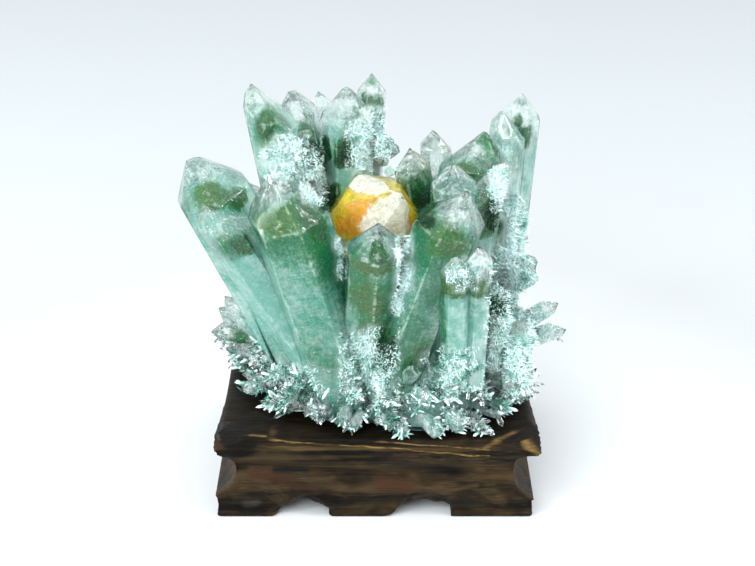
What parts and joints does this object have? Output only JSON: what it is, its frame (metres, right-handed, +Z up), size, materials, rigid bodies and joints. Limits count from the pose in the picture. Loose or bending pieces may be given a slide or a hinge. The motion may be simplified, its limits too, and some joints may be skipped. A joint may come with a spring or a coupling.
{
  "type": "quartz cluster on a wooden stand",
  "caption": "Cluster of pale green quartz points with one amber point, grown on a bed of fine needles and resting on a carved dark-wood stand.",
  "frame": {"origin": "on the ground, under the middle of the stand", "axes": "+Z up, the front with the two arches and the tall left point towards -Y, +X to the right"},
  "size_m": [0.1282, 0.0859, 0.1313],
  "materials": {
    "wood": "dark carved hardwood with a worn satin lacquer",
    "quartz": "clear to frosted crystal with green and amber dust inside"
  },
  "bodies": {
    "root": {"wood_stand": "wood", "quartz_cluster": "quartz"}
  },
  "joints": []
}
